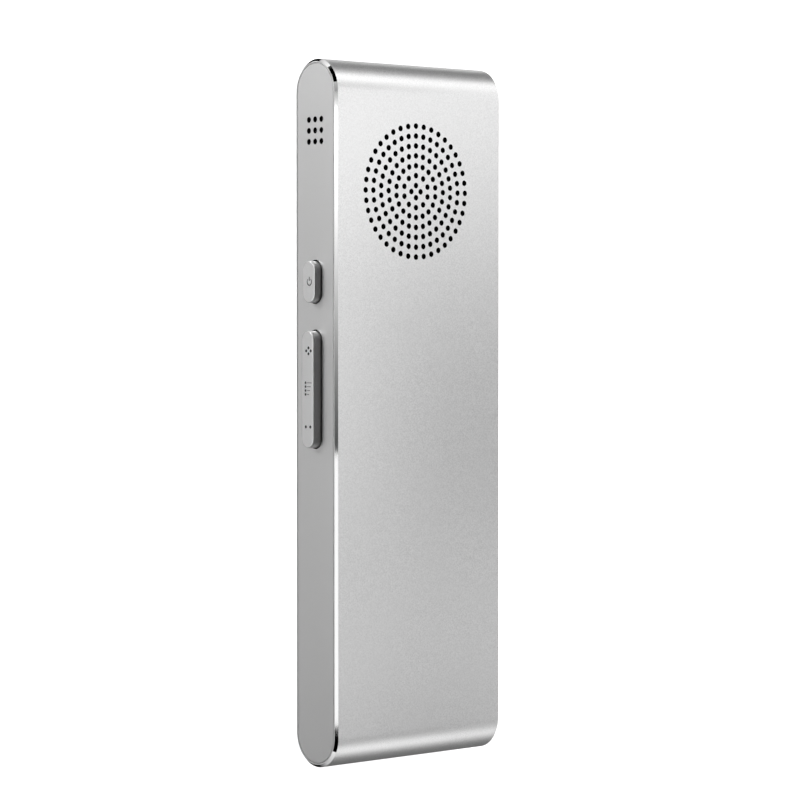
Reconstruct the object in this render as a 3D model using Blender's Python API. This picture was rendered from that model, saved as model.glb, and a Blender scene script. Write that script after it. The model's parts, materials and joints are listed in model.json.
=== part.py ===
"""Handheld voice recorder: an aluminium sleeve closed by two side plates, with everything else inside it.

The recorder lies on its display side. X runs across the body, with the side keys at -X and the sockets
at +X. Y runs along it, with the microphone and the loudspeaker towards +Y. Z points up, out of the
loudspeaker side. The origin is the middle of the flat display side. Sizes are in millimetres until
new_object turns them into metres.
"""

import math

import bmesh
import bpy

MM = 0.001
SHARP_ANGLE = math.radians(35)

# Body
WIDTH = 40.0
LENGTH = 129.0
THICKNESS = 12.0
WALL = 1.2
CHAMFER = 0.48
LAND = 0.26
END_STEPS = 16
MID_Z = THICKNESS / 2
END_RADIUS = THICKNESS / 2
HALF_STRAIGHT = LENGTH / 2 - END_RADIUS
BODY_X = WIDTH / 2
REAR_INSIDE = THICKNESS - WALL

# How far a cutter runs past the surface it opens, and how far a fused block runs into its base
SPARE = 1.0
MERGE = 0.2

# Seams between pieces that stay put, and clearances round pieces that move
SEAM = 0.05
PLATE_GAP = 0.11
KEY_GAP = 0.17
FRONT_KEY_GAP = 0.15

# Side plates
PLATE_DEPTH = 1.0
PLATE_RADIUS = END_RADIUS - CHAMFER - LAND - PLATE_GAP
PLATE_IN = BODY_X - PLATE_DEPTH + SEAM

# Loudspeaker grille: rings of holes round one centre, each ring with a hole straight up the body
GRILLE_CENTRE = (-1.04, 40.74)
GRILLE_COUNTS = (4, 10, 18, 24, 30, 36, 40)
GRILLE_FIRST_RING = 1.12
GRILLE_RING_STEP = 1.82
GRILLE_HOLE = 0.96
HOLE_SIDES = 8
KEY_SIDES = 24
SCREW_SIDES = 12

# Microphone holes
MIC_Y = 51.5
MIC_GRID = 3
MIC_PITCH_Y = 2.0
MIC_PITCH_Z = 1.8
MIC_HOLE = 1.0

# Side keys
KEY_BEVEL = 0.12
KEY_STEPS = 8
FLANGE = 0.6
POWER_Y = 24.05
POWER_SIZE = (7.6, 3.5)
POWER_PROUD = 1.5
POWER_FLANGE_RIM = (1.6, 1.0)
POWER_STEM = (3.0, 1.6)
POWER_STEM_REACH = 0.4
ROCKER_Y = 4.55
ROCKER_SIZE = (21.3, 3.4)
ROCKER_PROUD = 1.8
ROCKER_FLANGE_X = -18.55
ROCKER_FLANGE_RIM = (1.3, 0.8)
ROCKER_LUG = (1.1, 1.6)
ROCKER_LUG_REACH = 0.6
ROCKER_BORE = 1.0
ROCKER_SWITCH_ARM = 7.5
ROCKER_FOOT = (0.9, 0.4)
PIVOT_X = -17.0
PIN = (0.8, 2.9)
BRACKET_FOOT = (2.0, 2.7)
BRACKET_THICKNESS = 0.5
EAR_BORE = 0.9
EAR_HALF = 1.0
EAR_REACH = 0.75
EAR_Z = (1.8, 2.6)
SIDE_BOARD_X = (-15.6, -14.8)
SIDE_BOARD_Y = (-9.0, 31.0)
SIDE_BOARD_HEIGHT = 5.2
SIDE_SWITCH_FACE = -17.5
SIDE_SWITCH_CASE = (4.0, 3.0, 0.9)
SIDE_SWITCH_PLUNGER = 1.6
SWITCH_CORNER = 0.4

# Display and front keys
DISPLAY_Y = 26.0
DISPLAY_OPENING = (29.0, 46.0)
OPENING_CORNER = 1.5
WINDOW_REBATE = (33.0, 50.0)
WINDOW_CORNER = 2.5
WINDOW_DEPTH = 0.8
WINDOW_SINK = 0.05
GASKET = 0.2
LCD_SIZE = (31.0, 49.0)
LCD_CORNER = 1.0
LCD_BACK = 3.2
FLEX_SIZE = (12.0, 6.0)
FLEX_Z = (2.3, 2.45)
DISPLAY_SOCKET = (13.0, 1.95)
DISPLAY_SOCKET_LOW = 2.2
FRONT_KEYS = {
    "record": (0.0, -36.0, 10.0),
    "play": (-10.0, -18.0, 7.0),
    "menu": (0.0, -18.0, 7.0),
    "stop": (10.0, -18.0, 7.0),
}
FRONT_KEY_SINK = 0.1
FRONT_KEY_BEVEL = 0.2
FRONT_KEY_FLANGE = (1.6, 0.4)
FRONT_KEY_STEM = (2.4, 0.35)
FRONT_SWITCH_FACE = 2.3
FRONT_SWITCH_CASE = 5.0
FRONT_SWITCH_PLUNGER = (2.6, 0.3)

# Boards and chassis
BOARD_Z = (3.4, 4.2)
BOARD_X = (-13.0, 17.0)
BOARD_Y = 54.0
BOARD_CORNER = 1.0
BOARD_SCREW_HOLE = 1.4
FRAME_WALL = 1.4
FRAME_CLEARANCE = 0.2
FRAME_CORNER = 1.5
FRAME_Z = (3.3, 4.8)
END_BLOCK_X = (-14.4, 18.8)
END_BLOCK_Y = (55.3, 57.8)
END_BLOCK_Z = (2.2, 9.8)
LUG_IN = 1.6
LUG_OUT = (2.4, 3.0)
LUG_TOP = 5.7
TAPPED_HOLE = 1.3
TAPPED_FROM_X = 14.0
SHIELD = (16.0, 20.0, 1.3)
SHIELD_Y = 6.0
MEMORY = (12.0, 14.0, 1.0)
MEMORY_Y = -19.0
CHIP_CORNER = 0.3
BOARD_SCREWS = {
    "upper_left": (-11.2, 52.2),
    "upper_right": (15.2, 52.2),
    "lower_left": (-11.2, -52.2),
    "lower_right": (15.2, -52.2),
}
BOARD_SCREW = {"head": (2.6, 0.6), "shank": (1.1, 2.2), "drive": (1.0, 0.25)}

# Screws through the right plate: for each part its diameter and its depth below the plate's face
PLATE_SCREWS = {"upper": 56.8, "lower": -56.8}
PLATE_SCREW_HOLE = 1.5
PLATE_SCREW_RECESS = (2.5, 0.6)
PLATE_SCREW = {"shank": (1.2, 5.0), "head": (2.4, 0.55), "drive": (1.0, 0.25)}
PLATE_SCREW_SINK = 0.1

# Sockets on the right edge
USB_Y = -22.0
USB_SHELL = (8.94, 3.2)
USB_SHELL_WALL = 0.3
USB_FLOOR = 0.5
USB_SINK = 0.1
USB_TONGUE = (6.7, 0.7)
USB_TONGUE_SINK = 1.2
USB_BACK = 12.0
JACK_Y = -41.0
JACK_BODY = (6.0, 4.5)
JACK_CORNER = 0.4
JACK_NOSE = 5.0
JACK_BORE = 3.5
JACK_BACK = 5.5
JACK_FLOOR = 1.5
JACK_SINK = 0.05
SOCKET_CLEARANCE = 0.2
RESET_Y = 20.0
RESET_HOLE = 0.9

# Microphone behind its holes: diameters, and distances from the back of the left plate
MIC_SIDES = 16
MIC_MESH = (7.2, 0.1, 0.25)
MIC_BOOT = (7.4, 6.1, 0.35, 3.45)
MIC_CAN = (6.0, 0.75, 3.45)
MIC_PORT = (1.2, 1.0)

# Loudspeaker: (radius, height) round the profile of its basket and of its cone
SPEAKER_RADIUS = 13.0
SPEAKER_SIDES = 32
BASKET_RIM = 12.0
BASKET_OUTSIDE = ((9.0, 6.55), (13.0, 8.6))
BASKET_INSIDE = ((12.0, 9.0), (8.4, 7.2))
CONE_PROFILE = ((3.0, 8.0), (8.5, 9.5), (11.8, 9.5), (11.8, 9.75), (8.4, 9.75), (3.0, 8.25))
MAGNET = (7.0, 4.6, 6.5)
SPEAKER_GASKET = 0.5
SPEAKER_CLOTH = 0.25

# Battery
BATTERY_LOW = (-12.3, -33.0, 5.95)
BATTERY_HIGH = (11.2, 24.0, 10.3)
BATTERY_CORNER = 1.0
BATTERY_EDGE = (1.0, 0.6)
BATTERY_SHOULDER = 0.6
BATTERY_PAD_LOW = (-8.0, -3.0, 5.6)
BATTERY_PAD_HIGH = (8.0, 15.0, 5.9)
BATTERY_PLUG = (5.0, 2.4, 1.4)
BATTERY_PLUG_AT = (8.5, 25.9)

# Wires
WIRE_RADIUS = 0.4
BATTERY_WIRES = {"positive": (7.6, "wire_red"), "negative": (9.4, "wire_black")}
SPEAKER_WIRES = {"positive": (-3.0, "wire_red"), "negative": (1.0, "wire_black")}

# name: (colour, roughness, metallic)
FINISHES = {
    "blasted_aluminium": ((0.72, 0.72, 0.70), 0.45, 1.0),
    "satin_aluminium": ((0.62, 0.62, 0.61), 0.35, 1.0),
    "steel": ((0.55, 0.55, 0.56), 0.3, 1.0),
    "display_glass": ((0.01, 0.01, 0.012), 0.05, 0.0),
    "display_panel": ((0.03, 0.035, 0.04), 0.3, 0.0),
    "black_plastic": ((0.02, 0.02, 0.022), 0.5, 0.0),
    "grey_plastic": ((0.25, 0.25, 0.26), 0.5, 0.0),
    "board_green": ((0.02, 0.12, 0.06), 0.45, 0.0),
    "soft_rubber": ((0.03, 0.03, 0.03), 0.8, 0.0),
    "cone_paper": ((0.05, 0.05, 0.05), 0.8, 0.0),
    "acoustic_cloth": ((0.02, 0.02, 0.02), 0.95, 0.0),
    "battery_foil": ((0.6, 0.6, 0.62), 0.35, 0.6),
    "flex_film": ((0.5, 0.2, 0.03), 0.4, 0.0),
    "wire_red": ((0.5, 0.02, 0.02), 0.5, 0.0),
    "wire_black": ((0.02, 0.02, 0.02), 0.5, 0.0),
}


# Outlines: lists of (u, v) points that run counter-clockwise round their own middle


def circle(diameter, sides):
    """A regular polygon with no corner on the u axis."""
    turns = [2 * math.pi * (side + 0.5) / sides for side in range(sides)]
    return [(diameter / 2 * math.cos(turn), diameter / 2 * math.sin(turn)) for turn in turns]


def stadium(half_straight, radius, steps):
    """A slot with round ends, long in u."""
    points = []
    for end in (1, -1):
        for step in range(steps + 1):
            turn = math.pi * (step / steps - 0.5)
            points.append((end * (half_straight + radius * math.cos(turn)), end * radius * math.sin(turn)))
    return points


def pill(length, width, steps=KEY_STEPS):
    return stadium((length - width) / 2, width / 2, steps)


def rounded(length, width, radius, steps=2):
    """A rectangle with round corners, steps + 1 points to each."""
    points = []
    for corner, (side_u, side_v) in enumerate(((1, 1), (-1, 1), (-1, -1), (1, -1))):
        for step in range(steps + 1):
            turn = math.pi / 2 * (corner + step / steps)
            u = side_u * (length / 2 - radius) + radius * math.cos(turn)
            v = side_v * (width / 2 - radius) + radius * math.sin(turn)
            points.append((u, v))
    return points


def shifted(outline, u, v):
    return [(point_u + u, point_v + v) for point_u, point_v in outline]


# Solids: lists of (outline, height) levels, whose outlines have the same number of points


def prism(outline, low, high):
    return [(outline, low), (outline, high)]


def block(low, high):
    """A box between two corners, for stacking along Z."""
    corners = [(low[0], low[1]), (high[0], low[1]), (high[0], high[1]), (low[0], high[1])]
    return prism(corners, low[2], high[2])


def place(axis, u, v, height):
    return {"X": (height, u, v), "Y": (v, height, u), "Z": (u, v, height)}[axis]


def add_solid(bm, levels, axis, closed):
    """Joins the levels with quads, and caps both ends unless the levels close on themselves."""
    rings = [[bm.verts.new(place(axis, u, v, height)) for u, v in outline] for outline, height in levels]
    pairs = list(zip(rings, rings[1:]))
    if closed:
        pairs.append((rings[-1], rings[0]))
    for ring, following in pairs:
        for index in range(len(ring)):
            after = (index + 1) % len(ring)
            bm.faces.new((ring[index], ring[after], following[after], following[index]))
    if not closed:
        bm.faces.new(rings[0])
        bm.faces.new(rings[-1])


# Objects


def clear_scene():
    for item in list(bpy.data.objects):
        bpy.data.objects.remove(item, do_unlink=True)


def material(finish):
    found = bpy.data.materials.get(finish)
    if found:
        return found
    colour, roughness, metallic = FINISHES[finish]
    made = bpy.data.materials.new(finish)
    made.use_nodes = True
    shader = made.node_tree.nodes["Principled BSDF"]
    shader.inputs["Base Color"].default_value = (*colour, 1.0)
    shader.inputs["Roughness"].default_value = roughness
    shader.inputs["Metallic"].default_value = metallic
    return made


def new_object(name, solids, at=(0, 0, 0), finish="black_plastic", axis="Z", closed=False):
    """One object made of stacked solids, whose own origin lies at a point of the body."""
    bm = bmesh.new()
    for levels in solids:
        add_solid(bm, levels, axis, closed)
    bmesh.ops.recalc_face_normals(bm, faces=bm.faces)
    bmesh.ops.scale(bm, vec=(MM, MM, MM), verts=bm.verts)
    mesh = bpy.data.meshes.new(name)
    bm.to_mesh(mesh)
    bm.free()
    mesh.shade_smooth()
    mesh.set_sharp_from_angle(angle=SHARP_ANGLE)
    mesh.materials.append(material(finish))
    item = bpy.data.objects.new(name, mesh)
    item.location = [MM * value for value in at]
    item.parent = bpy.data.objects["voice_recorder"]
    bpy.context.collection.objects.link(item)
    return item


def combine(target, operation, name, solids, at=(0, 0, 0), axis="Z"):
    """Cuts solids out of the target, or fuses them to it, with a modifier and a hidden guide object."""
    guide = new_object(name, solids, at, axis=axis)
    guide.hide_render = True
    guide.display_type = "WIRE"
    modifier = target.modifiers.new(name, "BOOLEAN")
    modifier.operation = operation
    modifier.solver = "EXACT"
    modifier.object = guide


def cut(target, name, solids, at=(0, 0, 0), axis="Z"):
    combine(target, "DIFFERENCE", name, solids, at, axis)


def fuse(target, name, solids, at=(0, 0, 0), axis="Z"):
    combine(target, "UNION", name, solids, at, axis)


def wire(name, points, finish):
    """A round wire on a smooth curve through a few points."""
    curve = bpy.data.curves.new(name, "CURVE")
    curve.dimensions = "3D"
    curve.bevel_depth = WIRE_RADIUS * MM
    curve.bevel_resolution = 2
    curve.use_fill_caps = True
    path = smooth_path(points)
    spline = curve.splines.new("POLY")
    spline.points.add(len(path) - 1)
    for point, position in zip(spline.points, path):
        point.co = (*[MM * value for value in position], 1.0)
    curve.materials.append(material(finish))
    item = bpy.data.objects.new(name, curve)
    item.parent = bpy.data.objects["voice_recorder"]
    bpy.context.collection.objects.link(item)


def smooth_path(points, steps=4):
    """Catmull-Rom points through a route, with its two ends repeated."""
    route = [points[0], *points, points[-1]]
    path = []
    for before, start, end, after in zip(route, route[1:], route[2:], route[3:]):
        for step in range(steps):
            path.append(catmull_rom(before, start, end, after, step / steps))
    path.append(points[-1])
    return path


def catmull_rom(before, start, end, after, share):
    position = []
    for a, b, c, d in zip(before, start, end, after):
        cubic = (3 * b - a - 3 * c + d) * share**3
        square = (2 * a - 5 * b + 4 * c - d) * share**2
        position.append(0.5 * (2 * b + (c - a) * share + square + cubic))
    return position


# Housing


def body_outline(radius):
    return stadium(HALF_STRAIGHT, radius, END_STEPS)


def grille_holes():
    """Centres of the loudspeaker holes."""
    centres = []
    for ring, count in enumerate(GRILLE_COUNTS):
        radius = GRILLE_FIRST_RING + GRILLE_RING_STEP * ring
        for hole in range(count):
            turn = 2 * math.pi * hole / count
            x = GRILLE_CENTRE[0] + radius * math.sin(turn)
            y = GRILLE_CENTRE[1] + radius * math.cos(turn)
            centres.append((x, y))
    return centres


def make_sleeve():
    """A tube across the body: chamfered mouths, and a rebate inside each mouth for a side plate."""
    outside = body_outline(END_RADIUS)
    lip = body_outline(END_RADIUS - CHAMFER)
    rebate = body_outline(END_RADIUS - CHAMFER - LAND)
    inside = body_outline(END_RADIUS - WALL)
    shelf_x = BODY_X - PLATE_DEPTH
    levels = [(lip, -BODY_X), (outside, CHAMFER - BODY_X), (outside, BODY_X - CHAMFER), (lip, BODY_X)]
    levels += [(rebate, BODY_X), (rebate, shelf_x), (inside, shelf_x)]
    levels += [(inside, -shelf_x), (rebate, -shelf_x), (rebate, -BODY_X)]
    at = (0, 0, MID_Z)
    sleeve = new_object("sleeve_housing", [levels], at, "blasted_aluminium", axis="X", closed=True)

    hole = circle(GRILLE_HOLE, HOLE_SIDES)
    low, high = REAR_INSIDE - SPARE, THICKNESS + SPARE
    holes = [prism(shifted(hole, x, y), low, high) for x, y in grille_holes()]
    cut(sleeve, "grille_cutter", holes)

    rebate_outline = shifted(rounded(*WINDOW_REBATE, WINDOW_CORNER), 0, DISPLAY_Y)
    opening_outline = shifted(rounded(*DISPLAY_OPENING, OPENING_CORNER), 0, DISPLAY_Y)
    window_levels = [(rebate_outline, -SPARE), (rebate_outline, WINDOW_DEPTH)]
    window_levels += [(opening_outline, WINDOW_DEPTH), (opening_outline, WALL + SPARE)]
    cut(sleeve, "window_cutter", [window_levels])

    key_holes = []
    for x, y, diameter in FRONT_KEYS.values():
        outline = circle(diameter + 2 * FRONT_KEY_GAP, KEY_SIDES)
        key_holes.append(prism(shifted(outline, x, y), -SPARE, WALL + SPARE))
    cut(sleeve, "front_key_cutter", key_holes)


def plate_levels(side):
    return [prism(body_outline(PLATE_RADIUS), side * PLATE_IN, side * BODY_X)]


def make_left_plate():
    plate = new_object("left_side_plate", plate_levels(-1), (0, 0, MID_Z), "satin_aluminium", axis="X")
    far, near = -BODY_X - SPARE, -PLATE_IN + SPARE
    slots = []
    for centre, (length, width) in ((POWER_Y, POWER_SIZE), (ROCKER_Y, ROCKER_SIZE)):
        slot = pill(length + 2 * KEY_GAP, width + 2 * KEY_GAP)
        slots.append(prism(shifted(slot, centre, 0), far, near))
    cut(plate, "key_slot_cutter", slots, (0, 0, MID_Z), "X")

    hole = circle(MIC_HOLE, HOLE_SIDES)
    steps = [index - (MIC_GRID - 1) / 2 for index in range(MIC_GRID)]
    holes = []
    for along in steps:
        for across in steps:
            centre = shifted(hole, MIC_Y + along * MIC_PITCH_Y, across * MIC_PITCH_Z)
            holes.append(prism(centre, far, near))
    cut(plate, "mic_hole_cutter", holes, (0, 0, MID_Z), "X")


def make_right_plate():
    plate = new_object("right_side_plate", plate_levels(1), (0, 0, MID_Z), "satin_aluminium", axis="X")
    near, far = PLATE_IN - SPARE, BODY_X + SPARE
    usb = pill(USB_SHELL[0] + 2 * SEAM, USB_SHELL[1] + 2 * SEAM)
    openings = [prism(shifted(usb, USB_Y, 0), near, far)]
    openings.append(prism(shifted(circle(JACK_NOSE + 2 * SEAM, KEY_SIDES), JACK_Y, 0), near, far))
    openings.append(prism(shifted(circle(RESET_HOLE, HOLE_SIDES), RESET_Y, 0), near, far))
    recess, recess_depth = PLATE_SCREW_RECESS
    for y in PLATE_SCREWS.values():
        shank = shifted(circle(PLATE_SCREW_HOLE, SCREW_SIDES), y, 0)
        head = shifted(circle(recess, SCREW_SIDES), y, 0)
        seat = BODY_X - recess_depth
        openings.append([(shank, near), (shank, seat), (head, seat), (head, far)])
    cut(plate, "socket_cutter", openings, (0, 0, MID_Z), "X")


def make_plate_screws():
    """Screws through the right plate into the chassis, their heads sunk, with a socket in each."""
    shank, head, drive = (circle(PLATE_SCREW[part][0], SCREW_SIDES) for part in ("shank", "head", "drive"))
    tip, seat = -PLATE_SCREW["shank"][1], -PLATE_SCREW["head"][1]
    top = -PLATE_SCREW_SINK
    levels = [(shank, tip), (shank, seat), (head, seat), (head, top)]
    levels += [(drive, top), (drive, top - PLATE_SCREW["drive"][1])]
    for name, y in PLATE_SCREWS.items():
        new_object(f"plate_screw_{name}", [levels], (BODY_X, y, MID_Z), "steel", axis="X")


# Side keys


def key_cap(length, width, proud, inner_face):
    """Levels of a pill-shaped key with a bevelled outer edge, from the outside inwards."""
    outer_face = -BODY_X - proud
    top = pill(length - 2 * KEY_BEVEL, width - 2 * KEY_BEVEL)
    side = pill(length, width)
    return [(top, outer_face), (side, outer_face + KEY_BEVEL), (side, inner_face)]


def offset_levels(levels, shift):
    return [(outline, height - shift) for outline, height in levels]


def make_power_button():
    """The key, a flange that keeps it behind the plate, and a stem that faces its switch."""
    length, width = POWER_SIZE
    flange_face = -PLATE_IN + SEAM
    flange_back = flange_face + FLANGE
    levels = key_cap(length, width, POWER_PROUD, flange_face)
    flange = pill(length + POWER_FLANGE_RIM[0], width + POWER_FLANGE_RIM[1])
    stem = pill(*POWER_STEM)
    levels += [(flange, flange_face), (flange, flange_back)]
    levels += [(stem, flange_back), (stem, flange_back + POWER_STEM_REACH)]
    levels = offset_levels(levels, -BODY_X)
    new_object("power_button", [levels], (-BODY_X, POWER_Y, MID_Z), "satin_aluminium", axis="X")


def make_volume_rocker():
    """The rocker turns on a pin through a lug at its middle, so its origin is on that pin."""
    length, width = ROCKER_SIZE
    flange_back = ROCKER_FLANGE_X + FLANGE
    flange = pill(length + ROCKER_FLANGE_RIM[0], width + ROCKER_FLANGE_RIM[1])
    levels = key_cap(length, width, ROCKER_PROUD, ROCKER_FLANGE_X)
    levels += [(flange, ROCKER_FLANGE_X), (flange, flange_back)]
    at = (PIVOT_X, ROCKER_Y, MID_Z)
    rocker = new_object("volume_rocker", [offset_levels(levels, PIVOT_X)], at, "satin_aluminium", axis="X")

    root = flange_back - PIVOT_X - MERGE
    half_y, half_z = ROCKER_LUG
    feet = [block((root, -half_y, -half_z), (ROCKER_LUG_REACH, half_y, half_z))]
    half, reach = ROCKER_FOOT
    for arm in (-ROCKER_SWITCH_ARM, ROCKER_SWITCH_ARM):
        feet.append(block((root, arm - half, -half), (root + reach, arm + half, half)))
    fuse(rocker, "rocker_feet", feet, at)
    bore = prism(circle(ROCKER_BORE, SCREW_SIDES), -half_z - SPARE, half_z + SPARE)
    cut(rocker, "rocker_bore_cutter", [bore], at)


def make_rocker_pivot():
    at = (PIVOT_X, ROCKER_Y, MID_Z)
    diameter, half_length = PIN
    pin = prism(circle(diameter, SCREW_SIDES), -half_length, half_length)
    new_object("rocker_pin", [pin], at, "steel")
    foot = SIDE_BOARD_X[0] - SEAM - PIVOT_X
    half_y, half_z = BRACKET_FOOT
    base = block((foot - BRACKET_THICKNESS, -half_y, -half_z), (foot, half_y, half_z))
    bracket = new_object("rocker_bracket", [base], at, "steel")
    ears = []
    for side in (-1, 1):
        z_low, z_high = sorted((side * EAR_Z[0], side * EAR_Z[1]))
        ears.append(block((-EAR_REACH, -EAR_HALF, z_low), (foot - MERGE, EAR_HALF, z_high)))
    fuse(bracket, "bracket_ears", ears, at)
    bore = prism(circle(EAR_BORE, SCREW_SIDES), -half_z - SPARE, half_z + SPARE)
    cut(bracket, "bracket_bore_cutter", [bore], at)


def make_side_board():
    x_low, x_high = SIDE_BOARD_X
    y_low, y_high = SIDE_BOARD_Y
    at = (x_low, (y_low + y_high) / 2, MID_Z)
    thickness = x_high - x_low
    outline = rounded(y_high - y_low, SIDE_BOARD_HEIGHT, thickness)
    new_object("side_key_board", [prism(outline, 0, thickness)], at, "board_green", axis="X")
    places = {
        "power_switch": POWER_Y,
        "volume_up_switch": ROCKER_Y + ROCKER_SWITCH_ARM,
        "volume_down_switch": ROCKER_Y - ROCKER_SWITCH_ARM,
    }
    height = x_low - SEAM - SIDE_SWITCH_FACE
    length, width, plunger_height = SIDE_SWITCH_CASE
    case = rounded(length, width, SWITCH_CORNER, 1)
    plunger = circle(SIDE_SWITCH_PLUNGER, HOLE_SIDES)
    shoulder = plunger_height - height
    for name, y in places.items():
        levels = [(case, 0), (case, shoulder), (plunger, shoulder), (plunger, -height)]
        new_object(name, [levels], (x_low - SEAM, y, MID_Z), "black_plastic", axis="X")


# Front side


def make_display():
    window = rounded(WINDOW_REBATE[0] - 2 * SEAM, WINDOW_REBATE[1] - 2 * SEAM, WINDOW_CORNER)
    top = WINDOW_DEPTH - SEAM
    at = (0, DISPLAY_Y, 0)
    new_object("display_window", [prism(window, WINDOW_SINK, top)], at, "display_glass")

    outer = rounded(*LCD_SIZE, LCD_CORNER)
    inner = rounded(DISPLAY_OPENING[0] + 2 * GASKET, DISPLAY_OPENING[1] + 2 * GASKET, LCD_CORNER)
    low, high = WALL + SEAM, WALL + SEAM + GASKET
    ring = [(outer, low), (outer, high), (inner, high), (inner, low)]
    new_object("display_gasket", [ring], at, "soft_rubber", closed=True)
    new_object("lcd_panel", [prism(outer, high + SEAM, LCD_BACK)], at, "display_panel")

    edge = DISPLAY_Y - LCD_SIZE[1] / 2
    half, far = FLEX_SIZE[0] / 2, edge - FLEX_SIZE[1]
    flex = [block((-half, far, FLEX_Z[0]), (half, edge - SEAM, FLEX_Z[1]))]
    new_object("display_flex", flex, finish="flex_film")
    half, near = DISPLAY_SOCKET[0] / 2, far - SEAM
    low = (-half, near - DISPLAY_SOCKET[1], DISPLAY_SOCKET_LOW)
    new_object("display_connector", [block(low, (half, near, BOARD_Z[0] - SEAM))], finish="black_plastic")


def make_front_keys():
    """Round keys just below the surface, each kept in by a flange, over a switch on the main board."""
    flange_rim, flange_thickness = FRONT_KEY_FLANGE
    stem_size, stem_reach = FRONT_KEY_STEM
    plunger_size, plunger_height = FRONT_SWITCH_PLUNGER
    for name, (x, y, diameter) in FRONT_KEYS.items():
        sizes = (diameter, diameter + flange_rim, stem_size)
        cap, flange, stem = (circle(size, KEY_SIDES) for size in sizes)
        bevelled = circle(diameter - 2 * FRONT_KEY_BEVEL, KEY_SIDES)
        flange_low = WALL + SEAM
        flange_high = flange_low + flange_thickness
        levels = [(bevelled, FRONT_KEY_SINK), (cap, FRONT_KEY_SINK + FRONT_KEY_BEVEL), (cap, flange_low)]
        levels += [(flange, flange_low), (flange, flange_high)]
        levels += [(stem, flange_high), (stem, flange_high + stem_reach)]
        new_object(f"{name}_key", [levels], (x, y, 0), "satin_aluminium")

        case = rounded(FRONT_SWITCH_CASE, FRONT_SWITCH_CASE, SWITCH_CORNER, 1)
        plunger = circle(plunger_size, HOLE_SIDES)
        foot = BOARD_Z[0] - SEAM - FRONT_SWITCH_FACE
        levels = [(plunger, 0), (plunger, plunger_height), (case, plunger_height), (case, foot)]
        new_object(f"{name}_switch", [levels], (x, y, FRONT_SWITCH_FACE), "black_plastic")


# Chassis and boards


def frame_middle():
    return (BOARD_X[0] + BOARD_X[1]) / 2


def jack_notch():
    """The space that the headphone jack takes out of the board and the chassis."""
    half = JACK_BODY[0] / 2 + SOCKET_CLEARANCE
    return [block((JACK_BACK - SOCKET_CLEARANCE, JACK_Y - half, 0), (BODY_X, JACK_Y + half, MID_Z))]


def make_chassis():
    """A frame round the main board, a block at each end, and four lugs that the board is screwed to."""
    inner_size = (BOARD_X[1] - BOARD_X[0] + 2 * FRAME_CLEARANCE, 2 * (BOARD_Y + FRAME_CLEARANCE))
    inner = rounded(*inner_size, BOARD_CORNER)
    outer = rounded(inner_size[0] + 2 * FRAME_WALL, inner_size[1] + 2 * FRAME_WALL, FRAME_CORNER)
    low, high = FRAME_Z
    ring = [(outer, low), (outer, high), (inner, high), (inner, low)]
    at = (frame_middle(), 0, 0)
    chassis = new_object("chassis", [ring], at, "grey_plastic", closed=True)

    blocks = []
    for side in (-1, 1):
        y_low, y_high = sorted((side * END_BLOCK_Y[0], side * END_BLOCK_Y[1]))
        low, high = (END_BLOCK_X[0], y_low, END_BLOCK_Z[0]), (END_BLOCK_X[1], y_high, END_BLOCK_Z[1])
        blocks.append(block(low, high))
    fuse(chassis, "end_blocks", blocks)

    lugs = []
    for x, y in BOARD_SCREWS.values():
        x_low, x_high = sorted((x - math.copysign(LUG_IN, x), x + math.copysign(LUG_OUT[0], x)))
        y_low, y_high = sorted((y - math.copysign(LUG_IN, y), y + math.copysign(LUG_OUT[1], y)))
        lugs.append(block((x_low, y_low, BOARD_Z[1] + SEAM), (x_high, y_high, LUG_TOP)))
    fuse(chassis, "board_lugs", lugs)

    tapped = circle(TAPPED_HOLE, SCREW_SIDES)
    low, high = BOARD_Z[0] - SPARE, LUG_TOP + SPARE
    holes = [prism(shifted(tapped, x, y), low, high) for x, y in BOARD_SCREWS.values()]
    cut(chassis, "lug_hole_cutter", holes)
    holes = [prism(shifted(tapped, y, MID_Z), TAPPED_FROM_X, BODY_X) for y in PLATE_SCREWS.values()]
    cut(chassis, "plate_hole_cutter", holes, axis="X")

    half = USB_SHELL[0] / 2 + SOCKET_CLEARANCE
    low = (USB_BACK - SOCKET_CLEARANCE, USB_Y - half, BOARD_Z[1] + SEAM)
    cut(chassis, "usb_space_cutter", [block(low, (BODY_X, USB_Y + half, FRAME_Z[1] + SPARE))])
    cut(chassis, "jack_space_cutter", jack_notch())


def make_main_board():
    outline = rounded(BOARD_X[1] - BOARD_X[0], 2 * BOARD_Y, BOARD_CORNER)
    board = new_object("main_board", [prism(outline, *BOARD_Z)], (frame_middle(), 0, 0), "board_green")
    hole = circle(BOARD_SCREW_HOLE, SCREW_SIDES)
    low, high = BOARD_Z[0] - SPARE, BOARD_Z[1] + SPARE
    holes = [prism(shifted(hole, x, y), low, high) for x, y in BOARD_SCREWS.values()]
    cut(board, "board_hole_cutter", holes)
    cut(board, "board_notch_cutter", jack_notch())

    top = BOARD_Z[1] + SEAM
    shield = [prism(rounded(SHIELD[0], SHIELD[1], CHIP_CORNER), 0, SHIELD[2])]
    new_object("processor_shield", shield, (0, SHIELD_Y, top), "steel")
    chip = [prism(rounded(MEMORY[0], MEMORY[1], CHIP_CORNER), 0, MEMORY[2])]
    new_object("flash_memory", chip, (0, MEMORY_Y, top), "black_plastic")

    head, shank, drive = (circle(BOARD_SCREW[part][0], SCREW_SIDES) for part in ("head", "shank", "drive"))
    seat = BOARD_SCREW["head"][1]
    levels = [(drive, BOARD_SCREW["drive"][1]), (drive, 0), (head, 0), (head, seat)]
    levels += [(shank, seat), (shank, seat + BOARD_SCREW["shank"][1])]
    for name, (x, y) in BOARD_SCREWS.items():
        new_object(f"board_screw_{name}", [levels], (x, y, BOARD_Z[0] - SEAM - seat), "steel")


# Sockets


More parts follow.
